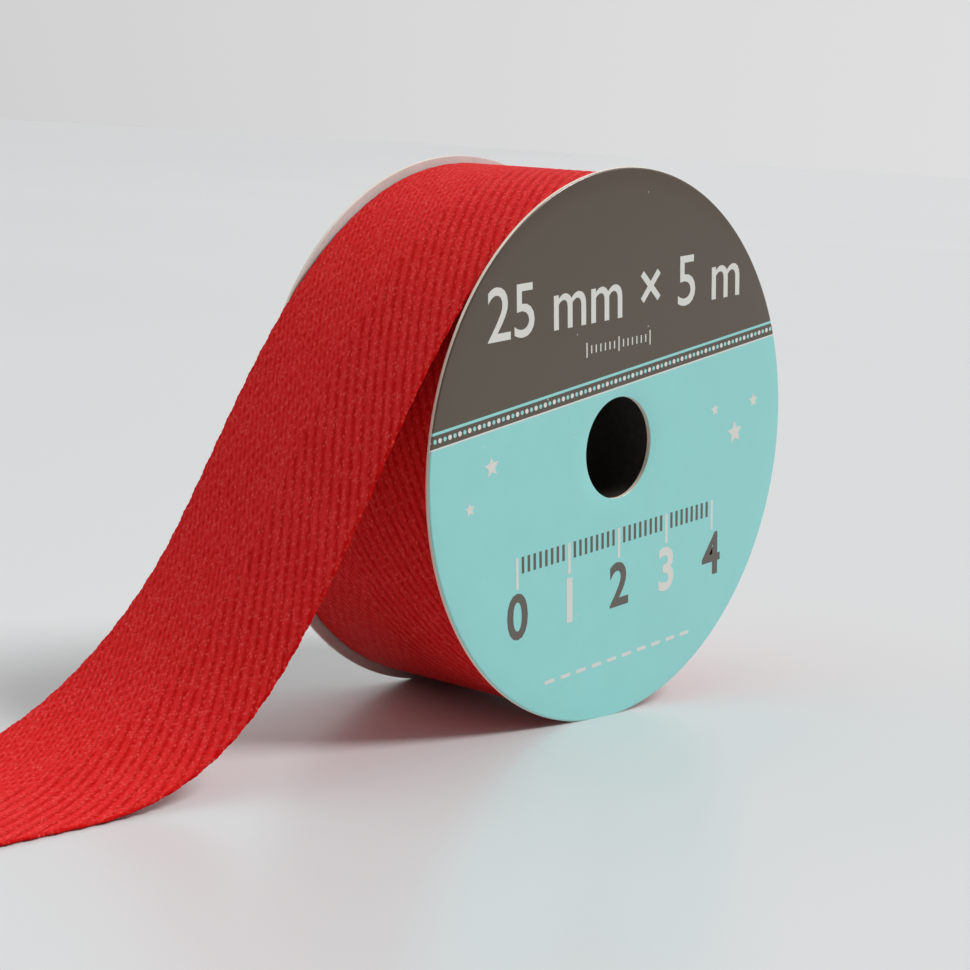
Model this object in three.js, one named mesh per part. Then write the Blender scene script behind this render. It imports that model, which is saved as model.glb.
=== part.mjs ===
// Roll of twill ribbon: two card discs on a core tube, the ribbon wound between them, and the
// loose end that leaves the top of the roll, swings out in an S and lies down on the table.
// Millimetres, +Z up. The spool's axis lies along Y, its printed face looks towards -Y and the
// loose end runs towards -X. The origin is under the middle of the whole part, on the table.

import * as THREE from 'three';

// Ribbon
const RIBBON_WIDTH = 25;
const SHEET_THICKNESS = 1;

// Spool
const DISC_RADIUS = 32;
const CARD_THICKNESS = 0.5;
const HOLE_RADIUS = 5.9;
const CORE_INNER_RADIUS = 6.4;
const CORE_OUTER_RADIUS = 8;
const FIT_GAP = 0.3;
const FLAT_SPOT_DEPTH = 0.25;

// Wound ribbon: its outermost turn is flush with the loose end where that begins
const ROLL_RADIUS = 31.2;
const SEAM_ANGLE = -50;
const DEPARTURE_ANGLE = 33.5;

// Side view of the loose end, in millimetres from the spool's axis, slopes below the horizontal
const BEND = { x: -45, z: -11.1, slope: 57 };
const LANDING_X = -75.5;
const HANDLES = { leaving: 16, aboveBend: 15, belowBend: 13.5, landing: 16 };
const TAIL_LENGTH = 106.5;

// The far edge comes down on the table a little later than the near one: how far it stands off,
// and the stretch where it does, measured from where the loose end leaves the roll
const LATE_EDGE = { lift: 1.6, from: 45, to: 91 };

// Facets
const CIRCLE_STEPS = 120;
const HOLE_STEPS = 48;
const TAIL_STEP = 2.2;
const ACROSS_STEPS = 8;

const AXIS_HEIGHT = DISC_RADIUS - FLAT_SPOT_DEPTH;
const ROLL_FRONT = CARD_THICKNESS + FIT_GAP;
const BACK_DISC_FRONT = ROLL_FRONT + RIBBON_WIDTH + FIT_GAP;
const UNDER_TAIL_RADIUS = ROLL_RADIUS - SHEET_THICKNESS - FIT_GAP;
const TAIL_ARC_RADIUS = ROLL_RADIUS - SHEET_THICKNESS / 2;
const TABLE_LEVEL = SHEET_THICKNESS / 2 - AXIS_HEIGHT;

const PRINTED_CARD = { name: 'printed_card', color: 0x7fc9bd, roughness: 0.45, metalness: 0 };
const PLAIN_CARD = { name: 'plain_card', color: 0xd9d3c8, roughness: 0.8, metalness: 0 };
const DARK_TUBE = { name: 'dark_tube', color: 0x1b1712, roughness: 0.85, metalness: 0 };
const TWILL = { name: 'twill', color: 0xc4161c, roughness: 0.9, metalness: 0 };

const radians = THREE.MathUtils.degToRad;

// A point at an angle from the top of the spool, counted towards the loose end
function pointOnSpool(radius, angle) {
  return new THREE.Vector2(-radius * Math.sin(angle), radius * Math.cos(angle));
}

function circlePath(radius, steps) {
  const points = [];
  for (let i = 0; i < steps; i += 1) {
    points.push(pointOnSpool(radius, (i / steps) * 2 * Math.PI));
  }
  return new THREE.Path(points);
}

// An outline in the spool's side view, given a thickness along the axis from its front face back
function slab(shape, front, thickness) {
  const geometry = new THREE.ExtrudeGeometry(shape, { depth: thickness, bevelEnabled: false });
  geometry.rotateX(Math.PI / 2);
  geometry.translate(0, front + thickness, AXIS_HEIGHT);
  return geometry;
}

// Card disc with its central hole and the small flat spot that it stands on
function discShape() {
  const halfFlat = Math.acos(AXIS_HEIGHT / DISC_RADIUS);
  const sweep = 2 * (Math.PI - halfFlat);
  const points = [];
  for (let i = 0; i <= CIRCLE_STEPS; i += 1) {
    points.push(pointOnSpool(DISC_RADIUS, halfFlat - Math.PI + (i / CIRCLE_STEPS) * sweep));
  }
  const shape = new THREE.Shape(points);
  shape.holes.push(circlePath(HOLE_RADIUS, HOLE_STEPS));
  return shape;
}

function coreShape() {
  const shape = new THREE.Shape(circlePath(CORE_OUTER_RADIUS, HOLE_STEPS).getPoints());
  shape.holes.push(circlePath(CORE_INNER_RADIUS, HOLE_STEPS));
  return shape;
}

// The roll's edge keeps one radius under the loose end, then rises by a turn's thickness to the seam
function rollRadius(angle) {
  const rise = (angle - DEPARTURE_ANGLE) / (360 + SEAM_ANGLE - DEPARTURE_ANGLE);
  return THREE.MathUtils.lerp(UNDER_TAIL_RADIUS, ROLL_RADIUS, Math.max(0, rise));
}

function rollShape() {
  const points = [];
  for (let i = 0; i <= CIRCLE_STEPS; i += 1) {
    const angle = SEAM_ANGLE + (i / CIRCLE_STEPS) * 360;
    points.push(pointOnSpool(rollRadius(angle), radians(angle)));
  }
  const shape = new THREE.Shape(points);
  shape.holes.push(circlePath(CORE_OUTER_RADIUS + FIT_GAP, HOLE_STEPS));
  return shape;
}

// Side view of the loose end's middle surface: over the roll, two bends, then flat on the table
function tailProfile() {
  const direction = (slope) => new THREE.Vector2(-Math.cos(slope), -Math.sin(slope));
  const departure = radians(DEPARTURE_ANGLE);
  const leaving = pointOnSpool(TAIL_ARC_RADIUS, departure);
  const bend = new THREE.Vector2(BEND.x, BEND.z);
  const landing = new THREE.Vector2(LANDING_X, TABLE_LEVEL);
  const bendDirection = direction(radians(BEND.slope));
  const seamGap = FIT_GAP / TAIL_ARC_RADIUS;
  const arcStart = Math.PI / 2 + radians(SEAM_ANGLE) + seamGap;

  const profile = new THREE.CurvePath();
  const arcEnd = Math.PI / 2 + departure;
  const arc = new THREE.EllipseCurve(0, 0, TAIL_ARC_RADIUS, TAIL_ARC_RADIUS, arcStart, arcEnd);
  profile.add(arc);
  profile.add(new THREE.CubicBezierCurve(
    leaving,
    leaving.clone().addScaledVector(direction(departure), HANDLES.leaving),
    bend.clone().addScaledVector(bendDirection, -HANDLES.aboveBend),
    bend,
  ));
  profile.add(new THREE.CubicBezierCurve(
    bend,
    bend.clone().addScaledVector(bendDirection, HANDLES.belowBend),
    landing.clone().addScaledVector(direction(0), -HANDLES.landing),
    landing,
  ));
  const arcLength = arc.getLength();
  const onTable = arcLength + TAIL_LENGTH - profile.getLength();
  profile.add(new THREE.LineCurve(landing, landing.clone().addScaledVector(direction(0), onTable)));
  return { profile, arcLength };
}

function farEdgeLift(run) {
  const share = THREE.MathUtils.inverseLerp(LATE_EDGE.from, LATE_EDGE.to, run);
  return LATE_EDGE.lift * Math.sin(Math.PI * THREE.MathUtils.clamp(share, 0, 1)) ** 2;
}

// One point of the loose end: run is counted along it from where it leaves the roll, across from
// its near edge to the far one, and lift at right angles to the cloth
function tailPoint({ profile, arcLength }, run, across, lift) {
  const u = (arcLength + run) / (arcLength + TAIL_LENGTH);
  const place = profile.getPoint(u);
  const tangent = profile.getTangent(u);
  const height = lift + (across / RIBBON_WIDTH) * farEdgeLift(run);
  return new THREE.Vector3(
    place.x + tangent.y * height,
    ROLL_FRONT + across,
    AXIS_HEIGHT + place.y - tangent.x * height,
  );
}

// Closed sheet: for every station along the loose end, one loop of points round its section
function tailGeometry() {
  const side = tailProfile();
  const stations = Math.ceil((side.arcLength + TAIL_LENGTH) / TAIL_STEP);
  const loopSize = 2 * (ACROSS_STEPS + 1);
  const half = SHEET_THICKNESS / 2;
  const positions = [];
  for (let i = 0; i <= stations; i += 1) {
    const run = THREE.MathUtils.lerp(-side.arcLength, TAIL_LENGTH, i / stations);
    for (let j = 0; j < loopSize; j += 1) {
      const onTop = j <= ACROSS_STEPS;
      const column = onTop ? j : loopSize - 1 - j;
      const across = (column / ACROSS_STEPS) * RIBBON_WIDTH;
      positions.push(...tailPoint(side, run, across, onTop ? half : -half).toArray());
    }
  }
  const indices = [];
  for (let i = 0; i < stations; i += 1) {
    for (let j = 0; j < loopSize; j += 1) {
      const next = (j + 1) % loopSize;
      const here = i * loopSize;
      const ahead = here + loopSize;
      indices.push(here + j, ahead + next, ahead + j, here + j, here + next, ahead + next);
    }
  }
  const last = stations * loopSize;
  for (let j = 0; j < ACROSS_STEPS; j += 1) {
    const under = loopSize - 1 - j;
    indices.push(j, under, j + 1, j + 1, under, under - 1);
    indices.push(last + j, last + j + 1, last + under, last + j + 1, last + under - 1, last + under);
  }
  const geometry = new THREE.BufferGeometry();
  geometry.setAttribute('position', new THREE.Float32BufferAttribute(positions, 3));
  geometry.setIndex(indices);
  geometry.computeVertexNormals();
  return geometry;
}

function part(name, geometry, finish) {
  const mesh = new THREE.Mesh(geometry, new THREE.MeshStandardMaterial(finish));
  mesh.name = name;
  return mesh;
}

const spool = new THREE.Group();
spool.add(part('front_disc', slab(discShape(), 0, CARD_THICKNESS), PRINTED_CARD));
spool.add(part('back_disc', slab(discShape(), BACK_DISC_FRONT, CARD_THICKNESS), PLAIN_CARD));
spool.add(part('core_tube', slab(coreShape(), ROLL_FRONT, RIBBON_WIDTH), DARK_TUBE));
spool.add(part('wound_ribbon', slab(rollShape(), ROLL_FRONT, RIBBON_WIDTH), TWILL));
spool.add(part('loose_end', tailGeometry(), TWILL));

const box = new THREE.Box3().setFromObject(spool);
const middle = box.getCenter(new THREE.Vector3());
spool.position.set(-middle.x, -middle.y, -box.min.z);

const group = new THREE.Group();
group.add(spool);

export default group;
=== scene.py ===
import bisect
import math

import bpy
from mathutils import Matrix, Vector


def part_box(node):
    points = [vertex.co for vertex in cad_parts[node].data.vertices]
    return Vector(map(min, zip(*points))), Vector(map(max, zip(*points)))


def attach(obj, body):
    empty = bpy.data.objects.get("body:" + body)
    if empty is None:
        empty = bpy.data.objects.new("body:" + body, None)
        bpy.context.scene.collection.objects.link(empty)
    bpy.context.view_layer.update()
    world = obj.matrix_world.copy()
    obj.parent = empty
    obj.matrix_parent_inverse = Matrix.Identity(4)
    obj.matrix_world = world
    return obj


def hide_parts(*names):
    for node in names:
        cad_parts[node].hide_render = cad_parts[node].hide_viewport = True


# Roll of twill ribbon on a card spool that stands on its rim, with its loose end laid on the table.
# The printed disc looks towards -Y, the loose end runs towards -X, and lengths are in metres.

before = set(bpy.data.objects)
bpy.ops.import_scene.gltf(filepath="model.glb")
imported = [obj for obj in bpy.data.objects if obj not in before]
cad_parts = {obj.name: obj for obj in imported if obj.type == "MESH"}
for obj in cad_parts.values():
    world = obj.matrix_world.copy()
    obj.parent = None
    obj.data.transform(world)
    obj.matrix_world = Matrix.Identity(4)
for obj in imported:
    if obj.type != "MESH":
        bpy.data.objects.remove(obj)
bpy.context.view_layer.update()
MM = 0.001

# Places that the frame gives
front_low, front_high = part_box("front_disc")
back_low, back_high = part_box("back_disc")
core_low, core_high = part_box("core_tube")
roll_low, roll_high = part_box("wound_ribbon")
AXIS_X = (core_low.x + core_high.x) / 2
AXIS_Z = (core_low.z + core_high.z) / 2
CORE_RADIUS = (core_high.x - core_low.x) / 2
CARD_THICKNESS = front_high.y - front_low.y
RIBBON_FRONT = roll_low.y
RIBBON_WIDTH = roll_high.y - roll_low.y
FACE_Y = front_low.y

# Spool, as in the solids
DISC_RADIUS = 32 * MM
HOLE_RADIUS = 5.9 * MM
TUBE_WALL = 1.6 * MM

# Rounded corners of the card: pressed hard at the printed rim, rubbed at the back one
PRINTED_RIM_ROUND = 0.3 * MM
RUBBED_RIM_ROUND = 0.18 * MM
CUT_ROUND = 0.08 * MM
INNER_RIM_ROUND = 0.06 * MM
TUBE_ROUND = 0.1 * MM

# Steps round the axis and cuts between the hole and the rim
DISC_STEPS = 240
DISC_RINGS = 10
TUBE_STEPS = 96
TUBE_RINGS = 1
CREASE_ANGLE = math.radians(40)

# Ribbon: the cloth is thinner than its solid sheet and keeps that sheet's outer face on the roll
CLOTH_THICKNESS = 0.48 * MM
TURN_PITCH = 0.5 * MM
SHEET_HALF = 0.5 * MM
ROLL_RADIUS = 31.2 * MM
SEAM_ANGLE = math.radians(-50)
DEPARTURE_ANGLE = math.radians(33.5)
SHEET_RADIUS = ROLL_RADIUS - SHEET_HALF

# Side view of the loose end, from the spool's axis
BEND_POINT = Vector((-45, -11.1)) * MM
BEND_SLOPE = math.radians(57)
LANDING_POINT = Vector((-75.5 * MM, SHEET_HALF - AXIS_Z))
LEAVING_HANDLE = 16 * MM
ABOVE_BEND_HANDLE = 15 * MM
BELOW_BEND_HANDLE = 13.5 * MM
LANDING_HANDLE = 16 * MM
TAIL_LENGTH = 106.5 * MM
SIDE_VIEW_STEPS = 240
# The cloth passes from its solid's outer face to its underside along this much of the loose end
SINKING_LENGTH = 62 * MM
# The far edge comes down on the table a little later than the near one
LATE_EDGE_LIFT = 1.6 * MM
LATE_EDGE_START = 45 * MM
LATE_EDGE_END = 91 * MM

# Herringbone twill: warp yarns run along the ribbon, each shifted by a pick from its neighbour
YARN_PITCH = 0.342 * MM
PICK_PITCH = 0.715 * MM
REPEAT = 4
YARN_RELIEF = 0.05 * MM
RIB_ANGLE = math.atan2(YARN_PITCH, PICK_PITCH)

# Selvedge: how wide it is, how far its faces draw in, what share of the thickness it loses, and
# how far it stands out where the weft turns back, once a repeat and once a pick
SELVEDGE_WIDTH = 0.5 * MM
SELVEDGE_ROUND = 0.1 * MM
SELVEDGE_THINNING = 0.35
REPEAT_TOOTH = 0.09 * MM
PICK_TOOTH = 0.04 * MM

# Print on the front disc: the turn of its band, the band's lines and dots in millimetres above
# the axis, and the turn of the figures and the measure
BAND_TURN = math.radians(10.25)
AQUA_LINE = 8.7
AQUA_LINE_HALF = 0.16
WHITE_LINE = 7.04
WHITE_LINE_HALF = 0.09
DOT_ROW = 7.87
DOT_PITCH = 0.78
WHITE_DOT_RADIUS = 0.28
AQUA_DOT_RADIUS = 0.25
PRINT_TURN = math.radians(6.2)
INK = 0.02 * MM


def linear(colour):
    """An sRGB hex colour as linear RGBA."""
    channels = [int(colour[i:i + 2], 16) / 255 for i in (1, 3, 5)]
    return [c / 12.92 if c < 0.04045 else ((c + 0.055) / 1.055) ** 2.4 for c in channels] + [1]


def add(material, kind, *inputs, named=None, **settings):
    """Adds a node with its settings, its first inputs in order and its others by name."""
    tree = material.node_tree
    node = tree.nodes.new("ShaderNode" + kind)
    for key, value in settings.items():
        setattr(node, key, value)
    for key, value in [*enumerate(inputs), *(named or {}).items()]:
        if isinstance(value, bpy.types.Node):
            value = value.outputs[0]
        if isinstance(value, bpy.types.NodeSocket):
            tree.links.new(value, node.inputs[key])
        elif value is not None:
            node.inputs[key].default_value = value
    return node


def new_material(name, **shader):
    """A material with one Principled shader, its plain values set on its own sockets."""
    material = bpy.data.materials.new(name)
    material.use_nodes = True
    surface = material.node_tree.nodes["Principled BSDF"]
    for key, value in shader.items():
        surface.inputs[key.replace("_", " ")].default_value = value
    return material, surface


def link(material, source, target):
    output = source.outputs[0] if isinstance(source, bpy.types.Node) else source
    material.node_tree.links.new(output, target)


# Materials

# Thin film over the print: satin, with a soft clear coat
FILM = {"Roughness": 0.36, "Specular_IOR_Level": 0.45, "Coat_Weight": 0.5, "Coat_Roughness": 0.14}
# The board's pulp lies in plies, so at a cut edge its grain is six times finer across the card
PLIES = (1, 6, 1)
EVEN = (1, 1, 1)


def weave_pits(cloth, picks, arm, half):
    """Depth of the soft pits, one at every fourth crossing of each warp yarn. picks counts the
    picks along, arm the yarns from the middle out, and half is the sign of the ribbon's half."""
    pit_length = 0.46
    pit_width = 0.3
    slackest = 0.55
    tightest = 0.85
    half_yarn = 0.5
    own_yarn = add(cloth, "Math", arm, operation="FLOOR")
    pits = None
    for neighbour in (-1, 0, 1):
        yarn = add(cloth, "Math", own_yarn, neighbour, operation="ADD")
        offset = add(cloth, "Math", picks, yarn, operation="SUBTRACT")
        step = add(cloth, "Math", offset, REPEAT / 2, -REPEAT / 2, operation="WRAP")
        run = add(cloth, "Math", step, PICK_PITCH / MM, operation="MULTIPLY")
        beside = add(cloth, "Math", arm, yarn, operation="SUBTRACT")
        side = add(cloth, "Math", beside, half_yarn, operation="SUBTRACT")
        outwards = add(cloth, "Math", side, YARN_PITCH / MM, operation="MULTIPLY")
        rise = add(cloth, "Math", outwards, half, operation="MULTIPLY")
        flat = add(cloth, "CombineXYZ", run, rise)
        turned = add(cloth, "VectorRotate", flat, rotation_type="Z_AXIS", named={"Angle": RIB_ANGLE})
        narrow = add(cloth, "VectorMath", turned, (1 / pit_length, 1 / pit_width, 1), operation="MULTIPLY")
        reach = add(cloth, "VectorMath", narrow, narrow, operation="DOT_PRODUCT").outputs["Value"]
        falling = add(cloth, "Math", reach, -1, operation="MULTIPLY")
        hollow = add(cloth, "Math", falling, operation="EXPONENT")
        # No two crossings are pulled equally tight
        repeats = add(cloth, "Math", offset, REPEAT, operation="DIVIDE")
        crossing = add(cloth, "CombineXYZ", yarn, add(cloth, "Math", repeats, operation="ROUND"), half)
        lot = add(cloth, "TexWhiteNoise", crossing, noise_dimensions="3D").outputs["Value"]
        depth = add(cloth, "MapRange", lot, 0, 1, slackest, tightest)
        pits = add(cloth, "Math", hollow, depth, pits if pits else 0, operation="MULTIPLY_ADD")
    return pits


def yarn_surface(cloth, along, across):
    """The yarn's fibres as noise, and single proud loops with their painted glints, both drawn out
    along the yarn's twist, which runs one way on both halves of the ribbon. Sizes are millimetres
    of cloth."""
    fibre_size = 0.4762
    loop_size = 0.4545
    slimness = 1.6
    crown_reach = 0.7
    dull_share = 0.35
    brightest = 0.6
    flat = add(cloth, "CombineXYZ", along, across)
    turned = add(cloth, "VectorRotate", flat, rotation_type="Z_AXIS", named={"Angle": RIB_ANGLE})
    drawn = add(cloth, "VectorMath", turned, (1, slimness, 1), operation="MULTIPLY")
    fibre = add(cloth, "TexNoise", drawn, named={"Scale": 1 / fibre_size, "Detail": 3, "Roughness": 0.6})
    # Here and there a loop of yarn stands proud; its glint is painted as a lighter colour
    loop = add(cloth, "TexVoronoi", drawn, named={"Scale": 1 / loop_size})
    crown = add(cloth, "MapRange", loop.outputs["Distance"], 0, crown_reach, 1, 0)
    lot = add(cloth, "SeparateXYZ", loop.outputs["Color"])
    chance = add(cloth, "MapRange", lot, dull_share, 1, 0, brightest)
    return fibre, add(cloth, "Math", crown, chance, operation="MULTIPLY")


def herringbone_twill(name, main, deep_dye_and_painted_shade, painted_glint_colour):
    """Spun polyester yarn, dyed in the piece and woven as a 3/1 herringbone twill: matt and soft.
    Every fourth crossing is a soft pit; the pits run together into grooves on one half of the
    ribbon and stand apart on the other, where the yarn's twist crosses them. Single loops stand
    proud. The colour follows the relief: painted shade makes pits and grooves a deeper red, and
    painted glints brighten some proud loops."""
    far_pits = 0.6
    ply_relief = 0.18
    glint_relief = 0.75
    bump_depth = 0.1 * MM
    cloud_size = 6.67 * MM
    cloud_shade = 0.3
    edge = RIBBON_WIDTH / 2 / MM
    shaded_edge = 0.3
    edge_shade = 0.6
    darkest = -0.1
    palest = 0.8
    cloth, surface = new_material(
        name,
        Roughness=0.6,
        Sheen_Weight=0.14,
        Sheen_Roughness=0.3,
        Sheen_Tint=linear("#FF6E6E"),
        Specular_IOR_Level=0.04,
    )
    place = add(cloth, "SeparateXYZ", add(cloth, "UVMap", uv_map="weave"))
    along, across = place.outputs[0], place.outputs[1]
    half = add(cloth, "Math", across, operation="SIGN")
    far = add(cloth, "Math", across, 0, operation="GREATER_THAN")
    from_middle = add(cloth, "Math", across, operation="ABSOLUTE")
    arm = add(cloth, "Math", from_middle, YARN_PITCH / MM, operation="DIVIDE")
    picks = add(cloth, "Math", along, PICK_PITCH / MM, operation="DIVIDE")
    open_weave = add(cloth, "MapRange", far, 0, 1, 1, far_pits)
    pits = add(cloth, "Math", weave_pits(cloth, picks, arm, half), open_weave, operation="MULTIPLY")
    # The two plies of the yarn show as fine waves on the far half
    counted = add(cloth, "Math", picks, arm, operation="ADD")
    turn = add(cloth, "Math", counted, math.pi, operation="MULTIPLY")
    ply = add(cloth, "Math", add(cloth, "Math", turn, operation="SINE"), far, operation="MULTIPLY")
    fibre, proud_loop_and_painted_glint = yarn_surface(cloth, along, across)
    level = add(cloth, "Math", pits, -1, fibre, operation="MULTIPLY_ADD")
    level = add(cloth, "Math", proud_loop_and_painted_glint, glint_relief, level, operation="MULTIPLY_ADD")
    level = add(cloth, "Math", ply, -ply_relief, level, operation="MULTIPLY_ADD")
    bump = add(cloth, "Bump", named={"Strength": 1, "Distance": bump_depth, "Height": level})
    link(cloth, bump, surface.inputs["Normal"])
    # The dye took a little unevenly
    coordinates = add(cloth, "TexCoord").outputs["Object"]
    clouds = {"Scale": 1 / cloud_size, "Detail": 3, "Roughness": 0.55}
    cloud = add(cloth, "TexNoise", coordinates, named=clouds)
    shade = add(cloth, "Math", cloud, cloud_shade, level, operation="MULTIPLY_ADD")
    # Painted shade: the colour is darker along the outer part of each selvedge
    painted_selvedge_shade = add(cloth, "MapRange", from_middle, edge - shaded_edge, edge, 0, edge_shade)
    shade = add(cloth, "Math", shade, painted_selvedge_shade, operation="SUBTRACT")
    # The height of the weave also sets the colour: painted shade makes the pits and grooves a deeper red
    tone = add(cloth, "MapRange", shade, darkest, palest, 0, 1)
    dye_and_painted_shade = add(cloth, "Mix", tone, data_type="RGBA", named={6: linear(deep_dye_and_painted_shade), 7: linear(main)})
    # Painted glints: some proud loops are mixed towards a light pinkish red
    colour = add(cloth, "Mix", proud_loop_and_painted_glint, data_type="RGBA", named={6: dye_and_painted_shade.outputs[2], 7: linear(painted_glint_colour)})
    link(cloth, colour.outputs[2], surface.inputs["Base Color"])
    return cloth


def printed_card():
    """Coated board, offset printed in two flat inks and laminated: an even satin face with a soft
    sheen and a few specks of dust under the film."""
    speck_spacing = 3.333 * MM
    speck_reach = 0.035
    speck_strength = 0.5
    cloud_size = 3.846 * MM
    cloud_low, cloud_high = 0.3, 0.7
    ink_spread = 0.015
    film_grain = 1.111 * MM
    film_relief = 0.02 * MM
    card, surface = new_material("laminated_print", **FILM)
    grey, aqua, white = linear("#594D40"), linear("#9BE4E0"), linear("#EEECE6")
    coordinates = add(card, "TexCoord").outputs["Object"]
    turned = add(
        card, "Mapping", coordinates, (AXIS_X, 0, AXIS_Z), (0, -BAND_TURN, 0), (MM, MM, MM),
        vector_type="TEXTURE",
    )
    place = add(card, "SeparateXYZ", turned)
    right, up = place.outputs[0], place.outputs[2]
    # The darker ink covers all above the lowest thin line
    printed = [(add(card, "Math", up, WHITE_LINE, operation="GREATER_THAN"), grey)]
    for height, half, ink in ((AQUA_LINE, AQUA_LINE_HALF, aqua), (WHITE_LINE, WHITE_LINE_HALF, white)):
        printed.append((add(card, "Math", up, height, half, operation="COMPARE"), ink))
    # Row of dots, white and aqua by turns
    drop = add(card, "Math", up, DOT_ROW, operation="SUBTRACT")
    for ink, shift, radius in ((white, 0, WHITE_DOT_RADIUS), (aqua, DOT_PITCH, AQUA_DOT_RADIUS)):
        moved = add(card, "Math", right, shift, operation="ADD")
        cell = add(card, "Math", moved, DOT_PITCH, -DOT_PITCH, operation="WRAP")
        from_dot = add(card, "CombineXYZ", cell, 0, drop)
        distance = add(card, "VectorMath", from_dot, operation="LENGTH").outputs["Value"]
        printed.append((add(card, "Math", distance, radius, operation="LESS_THAN"), ink))
    # Rare pale specks
    speck = add(card, "TexVoronoi", coordinates, named={"Scale": 1 / speck_spacing, "Randomness": 1})
    rare = add(card, "Math", speck.outputs["Distance"], speck_reach, operation="LESS_THAN")
    printed.append((add(card, "Math", rare, speck_strength, operation="MULTIPLY"), white))
    face = aqua
    for mask, ink in printed:
        face = add(card, "Mix", mask, data_type="RGBA", named={6: face, 7: ink}).outputs[2]
    # The ink is a little uneven
    cloud = add(card, "TexNoise", coordinates, named={"Scale": 1 / cloud_size, "Detail": 4})
    shade = add(card, "MapRange", cloud, cloud_low, cloud_high, 1 - ink_spread, 1 + ink_spread)
    even = add(card, "VectorMath", face, named={"Scale": shade}, operation="SCALE")
    link(card, even, surface.inputs["Base Color"])
    film = add(card, "TexNoise", coordinates, named={"Scale": 1 / film_grain, "Detail": 2})
    bump = add(card, "Bump", named={"Strength": 0.05, "Distance": film_relief, "Height": film})
    link(card, bump, surface.inputs["Normal"])
    return card


def printing_ink(name, colour):
    """Offset ink under the same film as the face: flat colour with the film's satin gloss."""
    grain_size = 1.4286 * MM
    thin_ink = 1.05
    ink, surface = new_material(name, **FILM)
    coordinates = add(ink, "TexCoord").outputs["Object"]
    grain = add(ink, "TexNoise", coordinates, named={"Scale": 1 / grain_size, "Detail": 2})
    light = [min(1, channel * thin_ink) for channel in linear(colour)]
    tone = add(ink, "Mix", grain, data_type="RGBA", named={6: linear(colour), 7: light})
    link(ink, tone.outputs[2], surface.inputs["Base Color"])
    return ink


def board(name, pale, dull, stretch):
    """Greyboard of pulped fibre, die cut: matt and slightly mottled, with its plies as fine lines
    along the cut edge."""
    fibre_size = 0.7143 * MM
    fibre_relief = 0.03 * MM
    cloud_size = 8.333 * MM
    dull_up_to = 0.16
    pale_from = 0.36
    card, surface = new_material(name, Roughness=0.6, Specular_IOR_Level=0.4)
    coordinates = add(card, "TexCoord").outputs["Object"]
    drawn = add(card, "Mapping", coordinates, None, None, stretch)
    fibre = add(card, "TexNoise", drawn, named={"Scale": 1 / fibre_size, "Detail": 4, "Roughness": 0.65})
    cloud = add(card, "TexNoise", coordinates, named={"Scale": 1 / cloud_size, "Detail": 2})
    both = add(card, "Math", fibre, cloud, operation="MULTIPLY")
    tone = add(card, "MapRange", both, dull_up_to, pale_from, 0, 1)
    colour = add(card, "Mix", tone, data_type="RGBA", named={6: linear(dull), 7: linear(pale)})
    link(card, colour.outputs[2], surface.inputs["Base Color"])
    bump = add(card, "Bump", named={"Strength": 0.4, "Distance": fibre_relief, "Height": fibre})
    link(card, bump, surface.inputs["Normal"])
    return card


def table_top():
    """Smooth white laminate: even, with a wide soft reflection, and painted shade that makes it a little
    darker towards the far left.
    """
    cloud_size = 333.3 * MM
    far_left = (-0.61, 0.79, 0)
    far_left_shade_distance = 800 * MM
    darkest_far_left_shade = 0.92
    top, surface = new_material("white_laminate", Roughness=0.3, Specular_IOR_Level=0.4)
    coordinates = add(top, "TexCoord").outputs["Object"]
    cloud = add(top, "TexNoise", coordinates, named={"Scale": 1 / cloud_size, "Detail": 1})
    colour = add(top, "Mix", cloud, data_type="RGBA", named={6: linear("#D4D6D7"), 7: linear("#D9DBDC")})
    # Painted shade: the colour darkens a little towards the far left
    leftwards = add(top, "VectorMath", coordinates, far_left, operation="DOT_PRODUCT").outputs["Value"]
    painted_far_left_shade = add(top, "MapRange", leftwards, 0, far_left_shade_distance, 1, darkest_far_left_shade)
    paint = add(top, "VectorMath", colour.outputs[2], named={"Scale": painted_far_left_shade}, operation="SCALE")
    link(top, paint, surface.inputs["Base Color"])
    return top


# The dye's red, the deeper red used for painted shade in pits and grooves, and the painted glint's pink
twill = herringbone_twill("herringbone_twill", "#E82D2E", "#C80606", "#FF6A62")
laminated_print = printed_card()
white_ink = printing_ink("white_ink", "#E8E6E0")
grey_ink = printing_ink("grey_ink", "#5F574F")
cut_edge = board("cut_board_edge", "#FFF3E4", "#F2E2CE", PLIES)
plain_board = board("plain_board", "#E4E2DD", "#DBD8D2", EVEN)
tube_paper = board("dark_tube_paper", "#332C25", "#241F1A", EVEN)
white_laminate = table_top()


# Meshes by hand tools

def deselect():
    """Leaves nothing selected, so that what is added next is selected alone."""
    bpy.ops.object.select_all(action="DESELECT")


def only(piece):
    """Makes one object selected and active, and nothing else."""
    if bpy.context.object and bpy.context.object.mode != "OBJECT":
        bpy.ops.object.mode_set(mode="OBJECT")
    deselect()
    piece.select_set(True)
    bpy.context.view_layer.objects.active = piece


def settle(piece, name):
    """Applies the piece's place, so that its object sits at the origin, and names it."""
    only(piece)
    bpy.ops.object.transform_apply(location=True, rotation=True, scale=True)
    piece.name = name
    piece.data.name = name
    return piece


def join(pieces):
    """Joins pieces into the first of them."""
    only(pieces[0])
    for piece in pieces:
        piece.select_set(True)
    bpy.ops.object.join()
    return pieces[0]


def stand_for(piece, node):
    """Shows the piece in place of a solid, on the only body."""
    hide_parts(node)
    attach(piece, "root")


def round_corner(piece, corner, size, rounds):
    """Bevels the one corner of a flat section that lies at a point."""
    same_point = 0.001 * MM
    bpy.ops.object.mode_set(mode="EDIT")
    bpy.ops.mesh.select_all(action="DESELECT")
    bpy.ops.object.mode_set(mode="OBJECT")
    for vertex in piece.data.vertices:
        vertex.select = (vertex.co - corner).length < same_point
    bpy.ops.object.mode_set(mode="EDIT")
    bpy.ops.mesh.bevel(offset=size, segments=rounds, affect="VERTICES", profile=0.5)
    bpy.ops.object.mode_set(mode="OBJECT")


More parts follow.
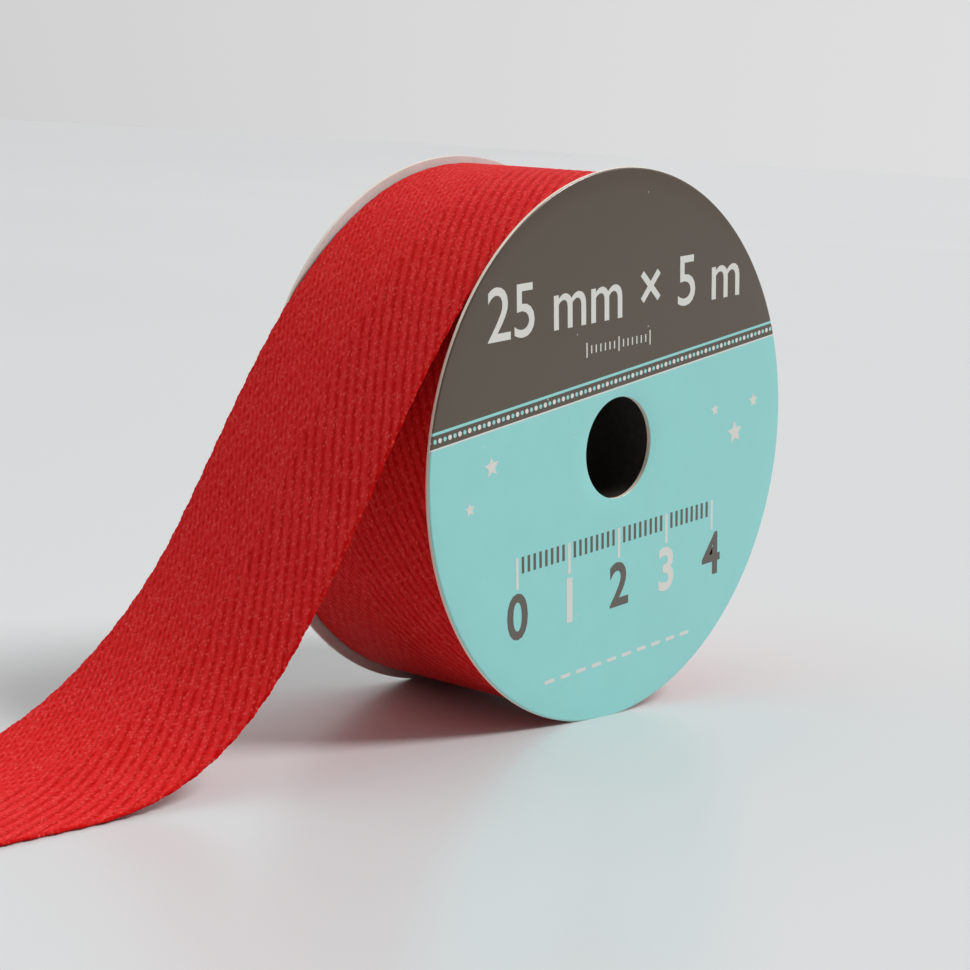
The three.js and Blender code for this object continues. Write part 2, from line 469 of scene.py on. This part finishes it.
def lathe(name, inner, outer, low_y, high_y, corners, steps, rings):
    """Turns a rectangular section about the spool's axis. Each of its corners that is rounded
    first is given by its radius, its y, the round's size and the facets in it."""
    weld = 0.002 * MM
    deselect()
    middle = Vector((AXIS_X + (inner + outer) / 2, (low_y + high_y) / 2, AXIS_Z))
    bpy.ops.mesh.primitive_plane_add(size=1, location=middle)
    piece = bpy.context.object
    piece.scale = (outer - inner, high_y - low_y, 1)
    settle(piece, name)
    for radius, y, size, rounds in corners:
        round_corner(piece, Vector((AXIS_X + radius, y, AXIS_Z)), size, rounds)
    bpy.ops.object.mode_set(mode="EDIT")
    bpy.ops.mesh.select_all(action="SELECT")
    bpy.ops.mesh.delete(type="ONLY_FACE")
    bpy.ops.object.mode_set(mode="OBJECT")
    for edge in piece.data.edges:
        a, b = (piece.data.vertices[i].co for i in edge.vertices)
        edge.select = abs(a.x - b.x) > (outer - inner) / 2
    bpy.ops.object.mode_set(mode="EDIT")
    bpy.ops.mesh.subdivide(number_cuts=rings)
    bpy.ops.mesh.select_all(action="SELECT")
    bpy.ops.mesh.spin(steps=steps, angle=2 * math.pi, center=(AXIS_X, 0, AXIS_Z), axis=(0, 1, 0))
    bpy.ops.mesh.select_all(action="SELECT")
    bpy.ops.mesh.remove_doubles(threshold=weld)
    bpy.ops.mesh.normals_make_consistent(inside=False)
    bpy.ops.object.mode_set(mode="OBJECT")
    return piece


def stand_flat(piece):
    """Presses what is below the table flat on it: the small flat spot."""
    only(piece)
    for part in (*piece.data.vertices, *piece.data.edges, *piece.data.polygons):
        part.select = False
    for vertex in piece.data.vertices:
        vertex.select = vertex.co.z < 0
    bpy.context.scene.tool_settings.mesh_select_mode = (True, False, False)
    bpy.ops.object.mode_set(mode="EDIT")
    bpy.ops.transform.resize(value=(1, 1, 0), center_override=(0, 0, 0))
    bpy.ops.object.mode_set(mode="OBJECT")


def smooth(piece):
    """Smooth shading, broken at creases."""
    only(piece)
    bpy.ops.object.shade_smooth_by_angle(angle=CREASE_ANGLE)


# Card discs

def clad(disc, face, front_y):
    """Gives a disc its face, plain board on its back, and its cut edge, by how each polygon lies."""
    sideways = 0.6
    face_index, back_index, edge_index = range(3)
    for material in (face, plain_board, cut_edge):
        disc.data.materials.append(material)
    for polygon in disc.data.polygons:
        near_face = abs(polygon.center.y - front_y) < CARD_THICKNESS / 2
        if abs(polygon.normal.y) < sideways:
            polygon.material_index = edge_index
        else:
            polygon.material_index = face_index if near_face else back_index


def card_disc(name, node, face, low_y, high_y, corners):
    """Disc of card on its flat spot, its face towards the camera's side."""
    disc = lathe(name, HOLE_RADIUS, DISC_RADIUS, low_y, high_y, corners, DISC_STEPS, DISC_RINGS)
    stand_flat(disc)
    clad(disc, face, low_y)
    smooth(disc)
    stand_for(disc, node)


card_disc(
    "front_card_disc", "front_disc", laminated_print, front_low.y, front_high.y,
    [
        (DISC_RADIUS, front_low.y, PRINTED_RIM_ROUND, 8),
        (HOLE_RADIUS, front_low.y, CUT_ROUND, 3),
        (DISC_RADIUS, front_high.y, INNER_RIM_ROUND, 2),
    ],
)
card_disc(
    "back_card_disc", "back_disc", plain_board, back_low.y, back_high.y,
    [
        (DISC_RADIUS, back_low.y, CUT_ROUND, 3),
        (DISC_RADIUS, back_high.y, RUBBED_RIM_ROUND, 4),
        (HOLE_RADIUS, back_high.y, CUT_ROUND, 3),
    ],
)


# Core tube

BORE_RADIUS = CORE_RADIUS - TUBE_WALL
core_tube = lathe(
    "spool_core_tube", BORE_RADIUS, CORE_RADIUS, core_low.y, core_high.y,
    [(BORE_RADIUS, y, TUBE_ROUND, 2) for y in (core_low.y, core_high.y)],
    TUBE_STEPS, TUBE_RINGS,
)
core_tube.data.materials.append(tube_paper)
smooth(core_tube)
stand_for(core_tube, "core_tube")


# Ribbon

def spool_point(radius, angle):
    """A point in the side view, at an angle from the top counted towards the loose end."""
    return Vector((-radius * math.sin(angle), radius * math.cos(angle)))


def curve_point(handles, t):
    """A point of the cubic curve through the first and last of four handles."""
    a, b, c, d = handles
    s = 1 - t
    return a * s ** 3 + b * (3 * s * s * t) + c * (3 * s * t * t) + d * t ** 3


def heading(slope):
    """The way down the loose end at a slope below the horizontal."""
    return Vector((-math.cos(slope), -math.sin(slope)))


def side_view():
    """Points of the loose end's side view from the seam on, and the length run at each of them,
    counted from where the cloth leaves the roll."""
    shares = [i / SIDE_VIEW_STEPS for i in range(SIDE_VIEW_STEPS)]
    sweep = DEPARTURE_ANGLE - SEAM_ANGLE
    points = [spool_point(SHEET_RADIUS, SEAM_ANGLE + sweep * share) for share in shares]
    leaving = spool_point(SHEET_RADIUS, DEPARTURE_ANGLE)
    hanging = (
        leaving,
        leaving + heading(DEPARTURE_ANGLE) * LEAVING_HANDLE,
        BEND_POINT - heading(BEND_SLOPE) * ABOVE_BEND_HANDLE,
        BEND_POINT,
    )
    landing = (
        BEND_POINT,
        BEND_POINT + heading(BEND_SLOPE) * BELOW_BEND_HANDLE,
        LANDING_POINT - heading(0) * LANDING_HANDLE,
        LANDING_POINT,
    )
    for handles in (hanging, landing):
        points += [curve_point(handles, share) for share in shares]
    points += [LANDING_POINT, LANDING_POINT + heading(0) * TAIL_LENGTH]
    runs = [-sweep * SHEET_RADIUS]
    for a, b in zip(points, points[1:]):
        runs.append(runs[-1] + (b - a).length)
    return points, runs


side_points, side_runs = side_view()
ARC_LENGTH = -side_runs[0]


def share_between(value, start, end):
    """How far a value is on its way from start to end, from 0 to 1."""
    return min(max((value - start) / (end - start), 0), 1)


def on_side(run):
    """Point and direction of the side view at a run."""
    i = min(max(bisect.bisect(side_runs, run) - 1, 0), len(side_points) - 2)
    step = side_points[i + 1] - side_points[i]
    share = (run - side_runs[i]) / (side_runs[i + 1] - side_runs[i])
    before = side_points[max(i - 1, 0)]
    after = side_points[min(i + 2, len(side_points) - 1)]
    turn_in = (side_points[i + 1] - before).normalized()
    turn_out = (after - side_points[i]).normalized()
    return side_points[i] + step * share, turn_in.lerp(turn_out, share).normalized()


def far_edge_lift(run):
    """How far the far edge stands off before it comes down on the table too."""
    share = share_between(run, LATE_EDGE_START, LATE_EDGE_END)
    return LATE_EDGE_LIFT * math.sin(math.pi * share) ** 2


def tail_place(run, across, lift):
    """A point of the loose end: across from its near edge, lift from the solid sheet's middle."""
    point, direction = on_side(run)
    height = lift + far_edge_lift(run) * across / RIBBON_WIDTH
    return Vector((
        AXIS_X + point.x + direction.y * height,
        RIBBON_FRONT + across,
        max(AXIS_Z + point.y - direction.x * height, 0),
    ))


def tail_lift(run):
    """The thin cloth lies at its solid's outer face on the roll and at its underside on the table."""
    spare = SHEET_HALF - CLOTH_THICKNESS / 2
    share = share_between(run, 0, SINKING_LENGTH)
    eased = share * share * (3 - 2 * share)
    return spare * (1 - 2 * eased)


def roll_place(run, across, lift):
    """A point of the wound ribbon: run is negative, back from the seam down the spiral."""
    back = -run - ARC_LENGTH
    outer = ROLL_RADIUS - CLOTH_THICKNESS / 2
    growth = TURN_PITCH / (2 * math.pi)
    angle = (outer - math.sqrt(max(outer * outer - 2 * growth * back, 0))) / growth
    radius = outer - growth * angle + lift
    point = spool_point(radius, SEAM_ANGLE - angle)
    return Vector((AXIS_X + point.x, RIBBON_FRONT + across, AXIS_Z + point.y))


def roll_lift(run):
    """The wound cloth's middle lies on the spiral all along."""
    return 0


def weave_lift(run, across):
    """Height of the cloth's face over the tops of its diagonal ribs: 0 there, less between them."""
    arm = abs(across - RIBBON_WIDTH / 2) / YARN_PITCH
    return -YARN_RELIEF * (math.cos(2 * math.pi * (run / PICK_PITCH - arm + 0.5) / REPEAT) + 1) / 2


def selvedge_tooth(run):
    """The weft turns back at each pick, tighter once a repeat, and makes the edge slightly toothed."""
    picks = 2 * math.pi * run / PICK_PITCH
    return REPEAT_TOOTH * math.cos(picks / REPEAT) + PICK_TOOTH * math.cos(picks)


def strip_section(columns, low_columns):
    """Closed section of the ribbon: across, and the face, 1 on top, 0 at an edge and -1 below."""
    top = [(RIBBON_WIDTH * i / columns, 1) for i in range(columns + 1)]
    low = [(RIBBON_WIDTH * (1 - i / low_columns), -1) for i in range(low_columns + 1)]
    return [*top, (RIBBON_WIDTH, 0), *low, (0, 0)]


def strip_faces(rows, size):
    """Quads between neighbouring sections of so many points, and a face at each end."""
    faces = []
    for i in range(rows):
        for j in range(size):
            k = (j + 1) % size
            faces.append((i * size + j, (i + 1) * size + j, (i + 1) * size + k, i * size + k))
    faces.append(tuple(range(size)))
    faces.append(tuple(reversed(range(rows * size, (rows + 1) * size))))
    return faces


def ribbon_strip(name, place, centre_lift, start, end, rows, columns, low_columns, relief):
    """Closed strip of cloth between two runs, with a weave map in millimetres: along, across.
    place turns run, across and lift into a point, and centre_lift lifts the cloth's middle."""
    section = strip_section(columns, low_columns)
    vertices = []
    marks = []
    for i in range(rows + 1):
        run = start + (end - start) * i / rows
        tooth = selvedge_tooth(run)
        middle = centre_lift(run)
        for across, face in section:
            edge = min(across, RIBBON_WIDTH - across)
            reach = max(0, 1 - edge / SELVEDGE_WIDTH)
            outwards = 1 if across > RIBBON_WIDTH / 2 else -1
            moved = across + outwards * reach * (tooth - SELVEDGE_ROUND * abs(face))
            half = CLOTH_THICKNESS / 2 * (1 - SELVEDGE_THINNING * reach * reach)
            lift = middle + face * half
            if relief and face:
                lift += face * weave_lift(run, across)
            vertices.append(place(run, moved, lift))
            marks.append((run / MM, (across - RIBBON_WIDTH / 2) / MM))
    mesh = bpy.data.meshes.new(name)
    mesh.from_pydata(vertices, [], strip_faces(rows, len(section)))
    weave = mesh.uv_layers.new(name="weave")
    for loop in mesh.loops:
        weave.data[loop.index].uv = marks[loop.vertex_index]
    mesh.materials.append(twill)
    piece = bpy.data.objects.new(name, mesh)
    bpy.context.scene.collection.objects.link(piece)
    only(piece)
    bpy.ops.object.shade_smooth()
    # Flat ends, so that no line shows where one strip carries on from another
    for end_face in mesh.polygons[-2:]:
        end_face.use_smooth = False
    return piece


# The mesh has two rows a pick and up to two columns a yarn, and fewer where the cloth hides it
ROW_STEP = PICK_PITCH / 2
YARNS = round(RIBBON_WIDTH / YARN_PITCH)
WOUND_LOW_COLUMNS = 12
INNER_COLUMNS = 2
INNER_ROWS = 36

loose_end = ribbon_strip(
    "loose_ribbon_end", tail_place, tail_lift, -ARC_LENGTH, TAIL_LENGTH,
    round((ARC_LENGTH + TAIL_LENGTH) / ROW_STEP), 2 * YARNS, 2 * YARNS // 3, True,
)
stand_for(loose_end, "loose_end")

# Outermost turn with its weave, then the turns under it
TURNS = math.floor((ROLL_RADIUS - CORE_RADIUS) / TURN_PITCH)
INNER_RADIUS = ROLL_RADIUS - TURNS * TURN_PITCH
OUTER_TURN = 2 * math.pi * (ROLL_RADIUS - TURN_PITCH / 2)
WOUND_LENGTH = math.pi * (ROLL_RADIUS + INNER_RADIUS) * TURNS
outer_turn = ribbon_strip(
    "wound_twill_ribbon", roll_place, roll_lift, -ARC_LENGTH - OUTER_TURN, -ARC_LENGTH,
    round(OUTER_TURN / ROW_STEP), YARNS, WOUND_LOW_COLUMNS, True,
)
inner_turns = ribbon_strip(
    "inner_turns", roll_place, roll_lift, -ARC_LENGTH - WOUND_LENGTH, -ARC_LENGTH - OUTER_TURN,
    TURNS * INNER_ROWS, INNER_COLUMNS, INNER_COLUMNS, False,
)
wound_ribbon = join([outer_turn, inner_turns])
stand_for(wound_ribbon, "wound_ribbon")


# Print on the disc: drawn flat round the origin in millimetres, then laid on the face

def inked(piece, ink, x, y, turn=0):
    """Gives a flat drawing its ink and its place on the label."""
    piece.rotation_euler = (0, 0, math.radians(turn))
    piece.location = (x * MM, y * MM, 0)
    piece.data.materials.clear()
    piece.data.materials.append(ink)
    return settle(piece, "print")


def figures(text, size, weight, ink, x, y):
    """Plain figures as a thin closed mesh."""
    deselect()
    bpy.ops.object.text_add(location=(0, 0, 0))
    piece = bpy.context.object
    piece.data.body = text
    piece.data.size = size * MM
    piece.data.align_x = "CENTER"
    piece.data.align_y = "CENTER"
    piece.data.extrude = INK / 2
    piece.data.offset = weight * MM
    piece.data.resolution_u = 4
    only(piece)
    bpy.ops.object.convert(target="MESH")
    return inked(bpy.context.object, ink, x, y)


def bar(width, height, ink, x, y):
    """A thin upright line of ink."""
    deselect()
    bpy.ops.mesh.primitive_cube_add(size=1, location=(0, 0, 0))
    piece = bpy.context.object
    piece.scale = (width * MM, height * MM, INK)
    return inked(piece, ink, x, y)


def star(radius, ink, x, y, turn):
    """Small five-pointed star: a ten-sided disc with every other corner drawn in."""
    waist = 0.46
    corners = 10
    deselect()
    bpy.ops.mesh.primitive_cylinder_add(vertices=corners, radius=radius * MM, depth=INK)
    piece = bpy.context.object
    for vertex in piece.data.vertices:
        angle = math.atan2(vertex.co.x, vertex.co.y)
        corner = round(angle / (2 * math.pi / corners))
        if corner % 2:
            vertex.co.x *= waist
            vertex.co.y *= waist
    return inked(piece, ink, x, y, turn)


def size_line():
    """Width and length of the ribbon over a row of fine ticks, every seventh one tall."""
    spaces = 14
    group = 7
    pitch = 0.82
    tall, short = 1.7, 0.9
    line = 0.2
    pieces = [figures("25 mm × 5 m", size=8.4, weight=0.04, ink=white_ink, x=0.5, y=17.6)]
    for tick in range(spaces + 1):
        height = short if tick % group else tall
        pieces.append(bar(line, height, white_ink, x=(tick - spaces / 2) * pitch, y=12.1))
    return pieces


def measure():
    """A ruler with a grey line each millimetre, but every ninth one tall and white, and numbers
    under those, grey and white by turns. Gives its white pieces and its grey ones."""
    unit = 9
    last = 4
    length = last * unit
    top = -9.5
    tall, short = 3.6, 1.9
    line = 0.42
    white, grey = [], []
    for tick in range(length + 1):
        height = short if tick % unit else tall
        ink, pile = (grey_ink, grey) if tick % unit else (white_ink, white)
        pile.append(bar(line, height, ink, x=tick - length / 2, y=top - height / 2))
    for number in range(last + 1):
        ink, pile = (white_ink, white) if number % 2 else (grey_ink, grey)
        x = number * unit - length / 2
        pile.append(figures(str(number), size=7.2, weight=0.16, ink=ink, x=x, y=top - 7))
    return white, grey


def stitches():
    """A row of stitches, drawn as on a seam."""
    spaces = 9
    pitch = 2.8
    length, thread = 1.7, 0.42
    places = [(i - spaces / 2) * pitch for i in range(spaces + 1)]
    return [bar(length, thread, white_ink, x, y=-25) for x in places]


def stars():
    """Two on the left of the hole and three on the right."""
    places = (
        # x, y, radius
        (-22, 1.5, 1.2),
        (-25.6, -2.6, 0.8),
        (18.5, 1.6, 0.8),
        (22.6, -1.8, 1.5),
        (26.4, 1.6, 0.9),
    )
    return [star(radius, white_ink, x, y, turn=5) for x, y, radius in places]


def lay_on_face(pile, name):
    """Joins drawings of one ink and lays them on the printed face, three quarters proud of it."""
    drawing = join(pile)
    drawing.rotation_euler = (math.pi / 2, -PRINT_TURN, 0)
    drawing.location = (AXIS_X, FACE_Y - INK / 4, AXIS_Z)
    settle(drawing, name)
    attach(drawing, "root")


size_print = size_line()
white_measure, grey_measure = measure()
lay_on_face([*size_print, *white_measure, *stitches(), *stars()], "white_label_print")
lay_on_face(grey_measure, "grey_label_print")


# Table, light and camera

TABLE_SIZE = 40
deselect()
bpy.ops.mesh.primitive_plane_add(size=TABLE_SIZE, location=(0, 0, 0))
table = bpy.context.object
table.name = "table"
table.data.materials.append(white_laminate)


def soft_light(name, towards, strength, spread):
    """Wide even light from one direction, given as the way from the object to it."""
    light = bpy.data.lights.new(name, "SUN")
    light.energy = strength
    light.angle = math.radians(spread)
    lamp = bpy.data.objects.new(name, light)
    lamp.rotation_euler = Vector(towards).to_track_quat("Z", "Y").to_euler()
    bpy.context.scene.collection.objects.link(lamp)


def studio_world(name, walls):
    """Light from a few wide, soft directions, each with its brightness, and none from the rest."""
    world = bpy.data.worlds.new(name)
    world.use_nodes = True
    way = add(world, "TexCoord").outputs["Generated"]
    room = None
    for side, brightness in walls:
        facing = add(world, "VectorMath", way, side, operation="DOT_PRODUCT").outputs["Value"]
        ahead = add(world, "Math", facing, 0, operation="MAXIMUM")
        lit = add(world, "Math", ahead, 2, operation="POWER")
        room = add(world, "Math", lit, brightness, room if room else 0, operation="MULTIPLY_ADD")
    link(world, room, world.node_tree.nodes["Background"].inputs["Color"])
    return world


# Where light comes from, as the way there from the object, and how bright each side is. The
# camera stands towards -X and -Y.
PALE_WALL_BEHIND = ((0.87, 0.5, 0), 0.72)
HIGH_WINDOW_ON_THE_LEFT = ((-0.59, 0.67, 0.45), 0.7)
DIM_WALL_ON_THE_RIGHT = ((0.66, -0.75, 0), 0.2)
CEILING = ((0, 0, 1), 0.42)

soft_light("key_light", towards=(0.45, -0.45, 0.77), strength=2.2, spread=20)
bpy.context.scene.world = studio_world(
    "pale_studio", (PALE_WALL_BEHIND, HIGH_WINDOW_ON_THE_LEFT, DIM_WALL_ON_THE_RIGHT, CEILING),
)
bpy.context.scene.view_settings.view_transform = "Standard"

# The photo's view, from the spool's axis and printed face
CAMERA_PLACE = Vector((-214.7, -167.2, 33.8)) * MM
CAMERA_YAW = math.radians(48.91)
CAMERA_PITCH = math.radians(8.18)
CAMERA_ROLL = math.radians(3.46)
FOCAL_LENGTH = 88.46
SENSOR_WIDTH = 36
camera_data = bpy.data.cameras.new("camera")
camera_data.lens = FOCAL_LENGTH
camera_data.sensor_width = SENSOR_WIDTH
camera = bpy.data.objects.new("camera", camera_data)
camera.location = Vector((AXIS_X, FACE_Y, AXIS_Z)) + CAMERA_PLACE
aim = Matrix.Rotation(-CAMERA_YAW, 3, "Z") @ Matrix.Rotation(math.pi / 2 - CAMERA_PITCH, 3, "X")
camera.rotation_euler = (aim @ Matrix.Rotation(CAMERA_ROLL, 3, "Z")).to_euler()
bpy.context.scene.collection.objects.link(camera)
bpy.context.scene.camera = camera
